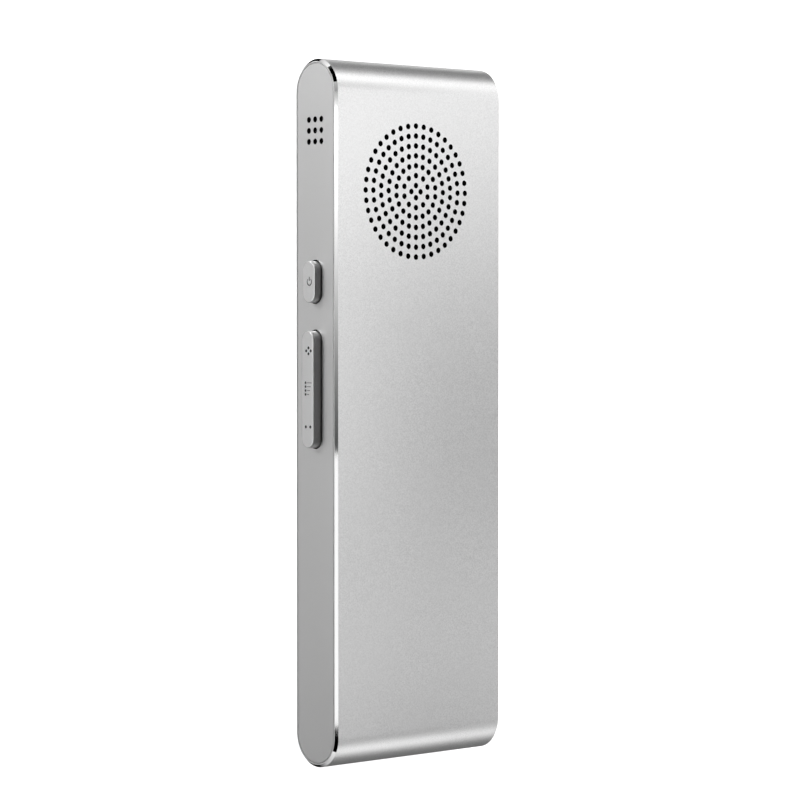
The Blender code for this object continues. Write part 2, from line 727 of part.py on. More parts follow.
def make_usb():
    """A type C receptacle: a pressed shell, open to the right, and the tongue inside it."""
    length, width = USB_SHELL
    outer = pill(length, width)
    inner = pill(length - 2 * USB_SHELL_WALL, width - 2 * USB_SHELL_WALL)
    mouth = BODY_X - USB_SINK
    floor = USB_BACK + USB_FLOOR
    levels = [(outer, USB_BACK), (outer, mouth), (inner, mouth), (inner, floor)]
    new_object("usb_shell", [levels], (0, USB_Y, MID_Z), "steel", axis="X")
    blade = rounded(*USB_TONGUE, USB_TONGUE[1] / 6, 1)
    tongue = [prism(blade, floor + SEAM, mouth - USB_TONGUE_SINK)]
    new_object("usb_tongue", tongue, (0, USB_Y, MID_Z), "black_plastic", axis="X")


def make_headphone_jack():
    body = rounded(*JACK_BODY, JACK_CORNER)
    nose, bore = circle(JACK_NOSE, SCREW_SIDES), circle(JACK_BORE, SCREW_SIDES)
    shoulder = PLATE_IN - SEAM
    mouth = BODY_X - JACK_SINK
    levels = [(body, JACK_BACK), (body, shoulder), (nose, shoulder), (nose, mouth)]
    levels += [(bore, mouth), (bore, JACK_BACK + JACK_FLOOR)]
    new_object("headphone_jack", [levels], (0, JACK_Y, MID_Z), "black_plastic", axis="X")


# Sound


def make_microphone():
    """A capsule in a rubber boot behind the nine holes, with a mesh against dust in front."""
    at = (-PLATE_IN, MIC_Y, MID_Z)
    diameter, near, far = MIC_MESH
    new_object("mic_mesh", [prism(circle(diameter, MIC_SIDES), near, far)], at, "acoustic_cloth", axis="X")
    outer, inner = (circle(diameter, MIC_SIDES) for diameter in MIC_BOOT[:2])
    near, far = MIC_BOOT[2:]
    ring = [(outer, near), (outer, far), (inner, far), (inner, near)]
    new_object("mic_boot", [ring], at, "soft_rubber", axis="X", closed=True)
    can, port = circle(MIC_CAN[0], MIC_SIDES), circle(MIC_PORT[0], MIC_SIDES)
    near, far = MIC_CAN[1:]
    levels = [(can, far), (can, near), (port, near), (port, MIC_PORT[1])]
    new_object("mic_capsule", [levels], at, "steel", axis="X")


def make_speaker():
    at = (*GRILLE_CENTRE, 0)
    gasket_top = REAR_INSIDE - SPEAKER_CLOTH
    frame_top = gasket_top - SPEAKER_GASKET

    def ring_at(radius):
        return circle(2 * radius, SPEAKER_SIDES)

    def turned(profile):
        return [(ring_at(radius), height) for radius, height in profile]

    rim = ((SPEAKER_RADIUS, frame_top), (BASKET_RIM, frame_top))
    new_object("speaker_frame", [turned(BASKET_OUTSIDE + rim + BASKET_INSIDE)], at, "grey_plastic")
    new_object("speaker_cone", [turned(CONE_PROFILE)], at, "cone_paper")
    new_object("speaker_magnet", [prism(ring_at(MAGNET[0]), *MAGNET[1:])], at, "steel")

    outer, inner = ring_at(SPEAKER_RADIUS + GASKET), ring_at(BASKET_RIM + GASKET)
    ring = [(outer, frame_top + SEAM), (outer, gasket_top), (inner, gasket_top), (inner, frame_top + SEAM)]
    new_object("speaker_gasket", [ring], at, "soft_rubber", closed=True)
    cloth = [prism(outer, gasket_top + SEAM, REAR_INSIDE - SEAM)]
    new_object("speaker_cloth", cloth, at, "acoustic_cloth")


# Power and wiring


def make_battery():
    size = [high - low for low, high in zip(BATTERY_LOW, BATTERY_HIGH)]
    middle = [(low + high) / 2 for low, high in zip(BATTERY_LOW, BATTERY_HIGH)]
    full = rounded(size[0], size[1], BATTERY_CORNER)
    narrowed = rounded(size[0] - BATTERY_EDGE[0], size[1] - BATTERY_EDGE[1], BATTERY_CORNER)
    half = size[2] / 2
    shoulder = half - BATTERY_SHOULDER
    levels = [(narrowed, -half), (full, -shoulder), (full, shoulder), (narrowed, half)]
    new_object("battery", [levels], middle, "battery_foil")
    new_object("battery_pad", [block(BATTERY_PAD_LOW, BATTERY_PAD_HIGH)], finish="soft_rubber")
    length, width, height = BATTERY_PLUG
    plug = [prism(rounded(length, width, CHIP_CORNER, 1), 0, height)]
    new_object("battery_connector", plug, (*BATTERY_PLUG_AT, BOARD_Z[1] + SEAM), "black_plastic")


def make_wires():
    """Short leads inside the housing. Each route starts at the part it serves and ends on the board."""
    board_top = BOARD_Z[1] + 2 * SEAM
    tab_y, tab_z = BATTERY_HIGH[1] + 0.5, 8.6
    plug_top = board_top + BATTERY_PLUG[2] + SEAM
    for name, (x, finish) in BATTERY_WIRES.items():
        over_plug = tab_y + 1.4
        route = [(x, tab_y, tab_z), (x, tab_y + 0.8, tab_z - 0.2), (x, over_plug, tab_z - 1.2)]
        wire(f"battery_wire_{name}", route + [(x, over_plug, plug_top)], finish)
    tab_y, tab_z = 31.0, 5.9
    for name, (x, finish) in SPEAKER_WIRES.items():
        route = [(x, tab_y, tab_z), (x, tab_y - 1.6, tab_z), (x, tab_y - 2.8, tab_z - 0.5)]
        wire(f"speaker_wire_{name}", route + [(x, tab_y - 3.0, board_top)], finish)
    capsule_x, pad_x = -15.0, -11.2
    route = [(capsule_x, MIC_Y, MID_Z), (capsule_x + 1.8, MIC_Y, MID_Z + 0.2)]
    route += [(pad_x - 0.4, MIC_Y - 2.0, MID_Z), (pad_x, MIC_Y - 3.4, MID_Z - 0.8)]
    wire("mic_cable", route + [(pad_x, MIC_Y - 3.6, board_top)], "wire_black")


def main():
    clear_scene()
    assembly = bpy.data.objects.new("voice_recorder", None)
    bpy.context.collection.objects.link(assembly)
    make_sleeve()
    make_left_plate()
    make_right_plate()
    make_plate_screws()
    make_power_button()
    make_volume_rocker()
    make_rocker_pivot()
    make_side_board()
    make_display()
    make_front_keys()
    make_chassis()
    make_main_board()
    make_usb()
    make_headphone_jack()
    make_microphone()
    make_speaker()
    make_battery()
    make_wires()


main()
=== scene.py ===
"""Looks of the handheld voice recorder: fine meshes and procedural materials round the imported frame.

X runs across the body, with the side keys at -X. Y runs along it, towards the microphone and the
loudspeaker. Z points up, out of the loudspeaker side. Sizes here are in millimetres until new_piece
turns them into metres, and places come from the boxes of the CAD nodes.
"""

import json
import math

import bmesh
import bpy
from mathutils import Matrix, Vector


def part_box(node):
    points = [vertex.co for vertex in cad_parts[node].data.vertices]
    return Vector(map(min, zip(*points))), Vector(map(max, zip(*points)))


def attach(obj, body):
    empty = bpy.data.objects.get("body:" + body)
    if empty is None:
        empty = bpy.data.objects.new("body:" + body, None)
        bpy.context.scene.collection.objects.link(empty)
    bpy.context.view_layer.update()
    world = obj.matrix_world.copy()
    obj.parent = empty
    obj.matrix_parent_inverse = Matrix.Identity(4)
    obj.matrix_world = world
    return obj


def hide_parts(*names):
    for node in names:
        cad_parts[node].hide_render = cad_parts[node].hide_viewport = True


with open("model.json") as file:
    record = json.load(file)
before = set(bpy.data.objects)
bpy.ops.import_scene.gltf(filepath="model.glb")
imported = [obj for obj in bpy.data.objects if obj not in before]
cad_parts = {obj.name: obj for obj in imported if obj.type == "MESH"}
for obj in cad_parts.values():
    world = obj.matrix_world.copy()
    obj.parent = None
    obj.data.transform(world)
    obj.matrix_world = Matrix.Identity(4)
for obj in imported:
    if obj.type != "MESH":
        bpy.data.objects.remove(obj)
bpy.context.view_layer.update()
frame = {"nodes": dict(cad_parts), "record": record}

MM = 0.001
ROOT = "recorder_body"

# Camera: where it stands, what it looks at, and its lens on a 36 mm sensor. Up is +Y, along the body.
CAMERA_AT = (-344.05, 18.58, 410.56)
CAMERA_AIM = (0.16, 2.2, 6.05)
CAMERA_LENS = 128.29
CAMERA_SENSOR = 36.0

# Softboxes: name, middle, (width, height), what it faces and power in watts. The far ones past the right
# edge show in the two round ends and fill the speaker side. The near ones over the speaker side grade its
# light, and those on the side keys' side light the side plate. The last three are the room's walls.
BODY = (0, 0, 0)
FACE = (0, 0, 12)
PLATE = (-20, 0, 6)
FAR = (315, 315)
MIDDLING = (125, 125)
NEAR = (80, 80)
CLOSE = (45, 45)
WALL_PANEL = (300, 300)
SOFTBOXES = [
    ("far_mic_end", (585, 590, 340), FAR, BODY, 0.51),
    ("far_low_end", (585, -590, 340), FAR, BODY, 0.37),
    ("far_mic_end_below", (585, 440, -525), FAR, BODY, 0.33),
    ("far_mic_end_above", (585, 440, 525), FAR, BODY, 0.31),
    ("far_low_end_above", (585, -440, 525), FAR, BODY, 0.16),
    ("far_low_end_level", (585, -675, 120), FAR, BODY, 0.073),
    ("over_speaker", (70, 60, 180), NEAR, BODY, 0.04),
    ("over_low_half", (65, -70, 175), NEAR, BODY, 0.025),
    ("over_mic_end", (40, 165, 100), NEAR, BODY, 0.016),
    ("over_low_end", (60, -175, 70), NEAR, BODY, 0.013),
    ("over_speaker_right", (125, 65, 145), NEAR, BODY, 0.011),
    ("close_middle", (40, -5, 110), CLOSE, BODY, 0.0054),
    ("close_right_strip", (52, 0, 42), (160, 21), FACE, 0.0029),
    ("close_speaker", (60, 75, 70), CLOSE, BODY, 0.0022),
    ("close_low_half", (70, -45, 85), CLOSE, BODY, 0.0015),
    ("plate_mic_end", (-245, 210, -140), MIDDLING, BODY, 0.5),
    ("plate_low_end", (-735, -315, -410), FAR, BODY, 0.18),
    ("plate_strip", (-160, 0, -45), (160, 50), PLATE, 0.067),
    ("plate_close_strip", (-27, 0, -33), (160, 14), PLATE, 0.0056),
    ("wall_mic_end", (0, 520, 300), WALL_PANEL, BODY, 0.95),
    ("wall_left_mic_end", (-520, 300, 0), WALL_PANEL, BODY, 0.55),
    ("wall_left_low_end", (-520, -300, 0), WALL_PANEL, BODY, 0.4),
]

# The room's grey level, the direction of its dark side, and how near to it grey starts and black is reached
ROOM_LEVEL = 0.15
DARK_SIDE = (-0.66, 0.0, 0.75)
DARK_STARTS = 0.1
DARK_FULL = 0.4

# Cards that the polished chamfer mirrors: name, start, end, width and the shades at start and end, where
# 1 is white on the display. The flags are black cards.
CARDS = [
    ("card_white", (-424, -134, 356), (-424, -33, 356), 120, (1.03, 1.03)),
    ("card_graded", (-424, -33, 356), (-424, 93, 356), 120, (0.3, 1.38)),
    ("card_step", (-424, 93, 356), (-424, 101, 356), 120, (1.03, 0.6)),
    ("card_top_grey", (-424, 101, 356), (-424, 315, 356), 120, (0.62, 0.76)),
    ("card_top_white", (-147, 320, -11), (-53, 320, -186), 110, (1.03, 0.8)),
    ("card_top_far", (-53, 320, -186), (-27, 320, -235), 110, (0.7, 0.3)),
    ("card_bottom_near", (-247, -320, 138), (-90, -320, -85), 110, (0.95, 0.74)),
    ("card_bottom_far", (-90, -320, -85), (-5, -320, -238), 110, (0.72, 0.27)),
    ("flag_top", (-40, 310, -200), (85, 120, -200), 160, (0.0, 0.0)),
    ("flag_bottom", (-20, -310, -200), (100, -130, -200), 160, (0.0, 0.0)),
]
DISPLAY_GAMMA = 2.2

# Sizes of the body
CHAMFER = 0.48
LAND = 0.26
WALL = 1.2
EDGE_ROUND = 0.05
PLATE_BREAK = 0.04
END_STEPS = 48
GUARD = 0.3
RIM_STEPS = 5

# How far cutters reach past the face they start from, and the angle in degrees above which an edge is sharp
CUT_PAST = 0.5
SHARP_ANGLE = 32

# Loudspeaker grille, and the cloth behind it
GRILLE_COUNTS = (4, 10, 18, 24, 30, 36, 40)
GRILLE_FIRST_RING = 1.12
GRILLE_RING_STEP = 1.82
GRILLE_HOLE = 0.96
HOLE_BREAK = 0.05
HOLE_SIDES = 28
THREAD_PITCH = 0.12

# Microphone holes
MIC_GRID = 3
MIC_PITCH_Y = 2.0
MIC_PITCH_Z = 1.8
MIC_HOLE = 1.0

# Side keys
KEY_GAP = 0.17
KEY_ROUND = 0.2
# The rounded rim and side wall of each side key take the darker key_side material: painted shade, a shaded
# copy of the key top's aluminium.
KEY_SIDE_BANDS = {band: 1 for band in range(1, RIM_STEPS + 1)}
KEY_STEPS = 20
KEY_FLANGE_THICKNESS = 0.6
POWER_SIZE = (7.6, 3.5)
POWER_FLANGE = (9.2, 4.5)
POWER_STEM = (3.0, 1.6)
POWER_STEM_REACH = 1.0
ROCKER_SIZE = (21.3, 3.4)
ROCKER_FLANGE = (22.6, 4.2)
ROCKER_FLANGE_X = -18.55

# Signs on the side keys
ENGRAVING = 0.1
SIGN_SIDES = 48
DISH_RIM = 2.5
DISH_FLOOR = 2.0
DISH_DEPTH = 0.12
POWER_SIGN_DEPTH = 0.2
POWER_SIGN_RADIUS = 0.62
POWER_SIGN_STROKE = 0.2
POWER_SIGN_ARC = (40, 320)
POWER_SIGN_BAR = 0.75
POWER_SIGN_BAR_AT = 0.55
DOT_SIDES = 20
SIGN_DOT = 0.55
SIGN_REACH_Y = 0.53
SIGN_REACH_Z = 0.65
SIGN_Z = 0.25
PLUS_Y = 7.0
MINUS_Y = -6.8
LEVEL_ROWS = 4
LEVEL_FIRST_Y = 1.2
LEVEL_PITCH = 0.7
# The level dots are painted shadows: dark engraved dots at the deep end of each level bar.
LEVEL_DOT = 0.5
LEVEL_DOT_Z = -0.6
LEVEL_BAR_Z = -0.2
LEVEL_BAR_WIDTH = 0.1
LEVEL_LONGEST = 1.35
LEVEL_SHORTER = 0.25

# Front side
WINDOW_REBATE = (33.0, 50.0)
WINDOW_OPENING = (29.0, 46.0)
WINDOW_CORNER = 2.5
WINDOW_DEPTH = 0.8
WINDOW_ROUND = 0.12
FRONT_KEYS = ("record", "play", "menu", "stop")
FRONT_KEY_SIDES = 64
FRONT_KEY_GAP = 0.15
FRONT_KEY_ROUND = 0.2
FRONT_KEY_FLANGE = 0.8
FRONT_KEY_FLANGE_THICKNESS = 0.4
FRONT_KEY_STEM = 2.4
RECORD_DISC = 3.6
PLAY_TRIANGLE = [(1.1, 0.0), (-0.8, 1.1), (-0.8, -1.1)]
STOP_SQUARE = 1.9
MENU_BAR = (2.4, 0.35)
MENU_PITCH = 0.75

# Sockets on the right edge
SEAM = 0.05
USB_WALL = 0.3
USB_BACK_WALL = 0.5
USB_LIP_STEPS = 6
TONGUE_CORNER = 0.1
CONTACT_COUNT = 12
CONTACT_PITCH = 0.5
CONTACT_SIZE = (0.28, 0.1)
CONTACT_FROM_TIP = (3.0, 0.3)
JACK_NOSE = 5.0
JACK_NOSE_BREAK = 0.15
JACK_BORE = 3.5
JACK_MOUTH = 3.8
JACK_MOUTH_DEPTH = 0.2
JACK_CORNER = 0.4
JACK_BACK_WALL = 1.5
JACK_HOLE_SIDES = 64
RESET_HOLE = 0.9
RESET_Y = 20.0
SCREW_HOLE_SIDES = 40
SCREW_SHANK_HOLE = 1.5
SCREW_HEAD_HOLE = 2.5
SCREW_SEAT = 0.6
SCREW_SIDES = 48
SCREW_HEAD = 2.4
SCREW_SHANK = 1.2
SCREW_HEAD_HEIGHT = 0.45
SCREW_DOME_STEP = 0.05
SCREW_DOME_INSET = 0.04
SCREW_DOME_STEPS = 3
CROSS_LENGTH = 1.5
CROSS_WIDTH = 0.32
CROSS_DEPTH = 0.3

FLOOR_SIZE = 6.0


def box_mm(node):
    low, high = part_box(node)
    return low / MM, high / MM


def middle_mm(node):
    low, high = box_mm(node)
    return (low + high) / 2


SLEEVE_LOW, SLEEVE_HIGH = box_mm("sleeve_housing")
BODY_X = SLEEVE_HIGH.x
MID_Z = (SLEEVE_LOW.z + SLEEVE_HIGH.z) / 2
END_RADIUS = SLEEVE_HIGH.z - MID_Z
HALF_STRAIGHT = SLEEVE_HIGH.y - END_RADIUS
REAR_INSIDE = SLEEVE_HIGH.z - WALL
PLATE_IN = box_mm("right_side_plate")[0].x
PLATE_RADIUS = box_mm("right_side_plate")[1].z - MID_Z
POWER_MIDDLE = middle_mm("power_button")
ROCKER_MIDDLE = middle_mm("volume_rocker")
MIC_MIDDLE = middle_mm("mic_mesh")
GRILLE_MIDDLE = middle_mm("speaker_cloth")
WINDOW_MIDDLE = middle_mm("display_window")


# Materials --------------------------------------------------------------------------------------


class Nodes:
    """A short way to write a material's node tree."""

    def __init__(self, name):
        self.material = bpy.data.materials.new(name)
        self.material.use_nodes = True
        self.tree = self.material.node_tree
        self.shader = self.tree.nodes["Principled BSDF"]
        self.place = self.add("ShaderNodeTexCoord").outputs["Object"]

    def add(self, kind, inputs=None, **settings):
        node = self.tree.nodes.new(kind)
        for key, value in settings.items():
            setattr(node, key, value)
        for key, value in (inputs or {}).items():
            self.feed(value, node.inputs[key])
        return node

    def feed(self, value, socket):
        if isinstance(value, bpy.types.NodeSocket):
            self.tree.links.new(value, socket)
        else:
            socket.default_value = value

    def noise(self, size_mm, detail, stretch=(1, 1, 1)):
        """Noise whose features are about this big, drawn out along an axis by a stretch above 1."""
        scale = [1 / (size_mm * MM * factor) for factor in stretch]
        mapping = self.add("ShaderNodeMapping", {"Vector": self.place, "Scale": scale})
        inputs = {"Vector": mapping.outputs["Vector"], "Scale": 1.0, "Detail": detail}
        return self.add("ShaderNodeTexNoise", inputs).outputs["Fac"]

    def remap(self, value, low, high, start=0.3, end=0.7):
        inputs = {"Value": value, "From Min": start, "From Max": end, "To Min": low, "To Max": high}
        return self.add("ShaderNodeMapRange", inputs).outputs["Result"]

    def mix(self, share, first, second):
        node = self.add("ShaderNodeMix", data_type="RGBA")
        self.feed(share, node.inputs["Factor"])
        self.feed(first, node.inputs["A"])
        self.feed(second, node.inputs["B"])
        return node.outputs["Result"]

    def bump(self, height, depth_mm):
        inputs = {"Height": height, "Distance": depth_mm * MM, "Strength": 1.0}
        self.feed(self.add("ShaderNodeBump", inputs).outputs["Normal"], self.shader.inputs["Normal"])


def shade(colour, factor):
    return (*[min(1.0, channel * factor) for channel in colour], 1.0)


def grained(name, colour, roughness, metallic, grain, tint, spread, depth, stretch=(1, 1, 1)):
    """A surface whose colour, roughness and relief all wander with the same fine noise.

    grain is the size of the noise in mm, tint and spread say how far colour and roughness wander, and
    depth is the height of the relief in mm.
    """
    nodes = Nodes(name)
    fine = nodes.noise(grain, 3.0, stretch)
    patches = nodes.noise(grain * 40, 1.0)
    tinted = nodes.mix(nodes.remap(fine, 0, 1), shade(colour, 1 - tint), shade(colour, 1 + tint))
    calmer = nodes.mix(nodes.remap(patches, 0, 0.35), tinted, shade(colour, 1.0))
    nodes.feed(calmer, nodes.shader.inputs["Base Color"])
    nodes.feed(nodes.remap(fine, roughness - spread, roughness + spread), nodes.shader.inputs["Roughness"])
    nodes.shader.inputs["Metallic"].default_value = metallic
    nodes.bump(fine, depth)
    return nodes.material


def polished(name, colour, roughness, metallic=1.0):
    """Nearly a mirror, with the faint haze of a cutting tool."""
    nodes = Nodes(name)
    haze = nodes.noise(0.4, 2.0, (1, 12, 1))
    nodes.feed(nodes.remap(haze, roughness * 0.7, roughness * 1.5), nodes.shader.inputs["Roughness"])
    nodes.feed(nodes.mix(haze, shade(colour, 0.98), shade(colour, 1.0)), nodes.shader.inputs["Base Color"])
    nodes.shader.inputs["Metallic"].default_value = metallic
    return nodes.material


def dull(name, colour):
    """A near-black that hardly shines, used as painted shade on the walls of holes and key slots."""
    material = grained(name, colour, 0.7, 0.0, 0.10, 0.1, 0.05, 0.004)
    material.node_tree.nodes["Principled BSDF"].inputs["Specular IOR Level"].default_value = 0.05
    return material


def woven(name, colour):
    """A fine cloth: two sets of threads at right angles."""
    nodes = Nodes(name)
    threads = []
    for direction in ("X", "Y"):
        inputs = {"Vector": nodes.place, "Scale": 1 / (THREAD_PITCH * MM) / math.pi / 2}
        wave = nodes.add("ShaderNodeTexWave", inputs, bands_direction=direction)
        threads.append(wave.outputs["Fac"])
    both = nodes.add("ShaderNodeMath", {0: threads[0], 1: threads[1]}, operation="MAXIMUM").outputs["Value"]
    nodes.feed(nodes.mix(both, shade(colour, 0.4), shade(colour, 1.3)), nodes.shader.inputs["Base Color"])
    nodes.shader.inputs["Roughness"].default_value = 0.9
    nodes.shader.inputs["Specular IOR Level"].default_value = 0.1
    nodes.bump(both, 0.02)
    return nodes.material


def make_materials():
    return {
        "blasted": grained("blasted_aluminium", (0.80, 0.80, 0.80), 0.40, 1.0, 0.22, 0.12, 0.05, 0.006),
        "chamfer": polished("polished_aluminium", (0.92, 0.92, 0.92), 0.03),
        "plate": grained("satin_plate", (0.66, 0.66, 0.66), 0.45, 1.0, 0.10, 0.02, 0.03, 0.002),
        "key": grained("satin_key", (0.96, 0.96, 0.96), 0.38, 1.0, 0.10, 0.02, 0.02, 0.002),
        # The side keys' rims and walls: the key aluminium at half brightness, painted shade that gives the
        # keys a dark outline.
        "key_side": grained("key_side_painted_shade", (0.48, 0.48, 0.48), 0.42, 1.0, 0.10, 0.04, 0.04, 0.003),
        # The walls of the grille, microphone and key-slot holes take this near-black: painted shade inside
        # the holes, not the aluminium's own colour.
        "hole": dull("hole_painted_shade", (0.006, 0.006, 0.006)),
        "mark": grained("engraved_mark", (0.05, 0.05, 0.05), 0.5, 0.6, 0.05, 0.1, 0.05, 0.002),
        "record_mark": grained("record_mark", (0.45, 0.02, 0.02), 0.45, 0.0, 0.05, 0.1, 0.05, 0.002),
        "glass": polished("window_glass", (0.010, 0.010, 0.012), 0.04, 0.0),
        "steel": grained(
            "machined_steel", (0.56, 0.56, 0.57), 0.28, 1.0, 0.08, 0.04, 0.06, 0.003, (1, 1, 6)
        ),
        "black": grained("moulded_black", (0.022, 0.022, 0.024), 0.5, 0.0, 0.12, 0.15, 0.06, 0.006),
        "grey": grained(
            "glass_filled_plastic", (0.2, 0.2, 0.21), 0.55, 0.0, 0.2, 0.12, 0.06, 0.008, (1, 4, 1)
        ),
        "board": grained("solder_mask", (0.02, 0.13, 0.07), 0.35, 0.0, 0.5, 0.2, 0.05, 0.004),
        "rubber": grained("soft_rubber", (0.03, 0.03, 0.03), 0.8, 0.0, 0.15, 0.15, 0.05, 0.01),
        "cone": grained("pressed_film", (0.05, 0.05, 0.05), 0.6, 0.0, 0.3, 0.1, 0.05, 0.01),
        "cloth": woven("acoustic_cloth", (0.006, 0.006, 0.006)),
        "foil": grained("battery_foil", (0.62, 0.62, 0.64), 0.32, 0.9, 1.2, 0.05, 0.08, 0.03),
        "panel": grained("display_panel", (0.03, 0.035, 0.04), 0.25, 0.0, 0.4, 0.1, 0.04, 0.002),
        "flex": grained("flex_film", (0.45, 0.19, 0.04), 0.35, 0.0, 0.3, 0.15, 0.05, 0.004, (1, 5, 1)),
        "wire_red": grained("wire_red", (0.5, 0.02, 0.02), 0.45, 0.0, 0.2, 0.1, 0.05, 0.003),
        "wire_black": grained("wire_black", (0.02, 0.02, 0.02), 0.45, 0.0, 0.2, 0.1, 0.05, 0.003),
        "gold": grained("gold_contact", (0.85, 0.62, 0.28), 0.25, 1.0, 0.1, 0.04, 0.04, 0.001),
    }


MATERIALS = make_materials()


# Outlines: lists of (u, v) points, counter-clockwise ---------------------------------------------


def circle(diameter, sides=HOLE_SIDES):
    turns = [2 * math.pi * side / sides for side in range(sides)]
    return [(diameter / 2 * math.cos(turn), diameter / 2 * math.sin(turn)) for turn in turns]


def stadium(half_straight, radius, steps, guard=0.0):
    """A slot with round ends, long in u. A guard adds a point on each straight, just before its arc."""
    points = []
    for end in (1, -1):
        if guard:
            points.append((end * (half_straight - guard), -end * radius))
        for step in range(steps + 1):
            turn = math.pi * (step / steps - 0.5)
            points.append((end * (half_straight + radius * math.cos(turn)), end * radius * math.sin(turn)))
        if guard:
            points.append((end * (half_straight - guard), end * radius))
    return points


def pill(length, width, steps=KEY_STEPS):
    return stadium((length - width) / 2, width / 2, steps)


def rounded(length, width, radius, steps=8):
    points = []
    for corner, (side_u, side_v) in enumerate(((1, 1), (-1, 1), (-1, -1), (1, -1))):
        for step in range(steps + 1):
            turn = math.pi / 2 * (corner + step / steps)
            u = side_u * (length / 2 - radius) + radius * math.cos(turn)
            v = side_v * (width / 2 - radius) + radius * math.sin(turn)
            points.append((u, v))
    return points


def shifted(outline, u, v):
    return [(point_u + u, point_v + v) for point_u, point_v in outline]


def body_outline(radius):
    return stadium(HALF_STRAIGHT, radius, END_STEPS, GUARD)


# Solids: lists of (outline, height) levels --------------------------------------------------------


def prism(outline, low, high):
    return [(outline, low), (outline, high)]


def rounded_rim(outline_inset, face, inwards, radius, steps=RIM_STEPS):
    """Levels that turn a flat face into a side wall. outline_inset(i) is its outline moved in by i."""
    levels = []
    for step in range(steps + 1):
        turn = math.pi / 2 * step / steps
        inset = radius * (1 - math.sin(turn))
        levels.append((outline_inset(inset), face + inwards * radius * (1 - math.cos(turn))))
    return levels


def place(axis, u, v, height):
    return {"X": (height, u, v), "Y": (v, height, u), "Z": (u, v, height)}[axis]


def add_solid(bm, levels, axis, closed, slots):
    rings = [[bm.verts.new(place(axis, u, v, height)) for u, v in outline] for outline, height in levels]
    pairs = list(zip(rings, rings[1:]))
    if closed:
        pairs.append((rings[-1], rings[0]))
    for number, (ring, following) in enumerate(pairs):
        for index in range(len(ring)):
            after = (index + 1) % len(ring)
            face = bm.faces.new((ring[index], ring[after], following[after], following[index]))
            face.material_index = slots.get(number, 0)
    if not closed:
        bm.faces.new(rings[0])
        bm.faces.new(rings[-1])


def new_piece(name, solids, materials, at=(0, 0, 0), axis="Z", closed=False, slots=None):
    """A mesh object made of stacked solids. slots gives the material index of a band between two levels."""
    bm = bmesh.new()
    for levels in solids:
        add_solid(bm, levels, axis, closed, slots or {})
    bmesh.ops.recalc_face_normals(bm, faces=bm.faces)
    bmesh.ops.scale(bm, vec=(MM, MM, MM), verts=bm.verts)
    bmesh.ops.translate(bm, vec=Vector(at) * MM, verts=bm.verts)
    mesh = bpy.data.meshes.new(name)
    bm.to_mesh(mesh)
    bm.free()
    for material in materials:
        mesh.materials.append(MATERIALS[material])
    item = bpy.data.objects.new(name, mesh)
    bpy.context.scene.collection.objects.link(item)
    return item


def carve(piece, solids, material, at=(0, 0, 0), axis="Z"):
    """Cuts solids out of a piece. The walls of the cut take the given material."""
    cutter = new_piece(piece.name + "_cutter", solids, [material], at, axis)
    modifier = piece.modifiers.new("carve", "BOOLEAN")
    modifier.operation = "DIFFERENCE"
    modifier.solver = "EXACT"
    modifier.material_mode = "TRANSFER"
    modifier.object = cutter
    bake(piece)
    bpy.data.objects.remove(cutter, do_unlink=True)


def bake(piece):
    """Turns a piece and its modifiers into a plain mesh."""
    evaluated = piece.evaluated_get(bpy.context.evaluated_depsgraph_get())
    mesh = bpy.data.meshes.new_from_object(evaluated)
    piece.modifiers.clear()
    piece.data = mesh


def settle(piece, node, body=ROOT):
    """Smooth shading that keeps flat faces flat, and the piece takes the CAD node's place on its body."""
    piece.data.shade_smooth()
    piece.data.set_sharp_from_angle(angle=math.radians(SHARP_ANGLE))
    modifier = piece.modifiers.new("flat_faces", "WEIGHTED_NORMAL")
    modifier.mode = "FACE_AREA"
    modifier.weight = 100
    modifier.keep_sharp = True
    bake(piece)
    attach(piece, body)
    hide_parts(node)


# Housing ------------------------------------------------------------------------------------------


def grille_holes():
    centres = []
    for ring, count in enumerate(GRILLE_COUNTS):
        radius = GRILLE_FIRST_RING + GRILLE_RING_STEP * ring
        for hole in range(count):
            turn = 2 * math.pi * hole / count
            centres.append((radius * math.sin(turn), radius * math.cos(turn)))
    return centres


def drilled(diameter, x, y, face, bottom, sides=HOLE_SIDES):
    """Levels of a round cutter whose mouth, at the face, breaks the edge of the hole."""
    outwards = 1 if face > bottom else -1
    wide = shifted(circle(diameter + 2 * HOLE_BREAK, sides), x, y)
    narrow = shifted(circle(diameter, sides), x, y)
    mouth = [(wide, face + outwards * CUT_PAST), (wide, face), (narrow, face - outwards * HOLE_BREAK)]
    return mouth + [(narrow, bottom)]


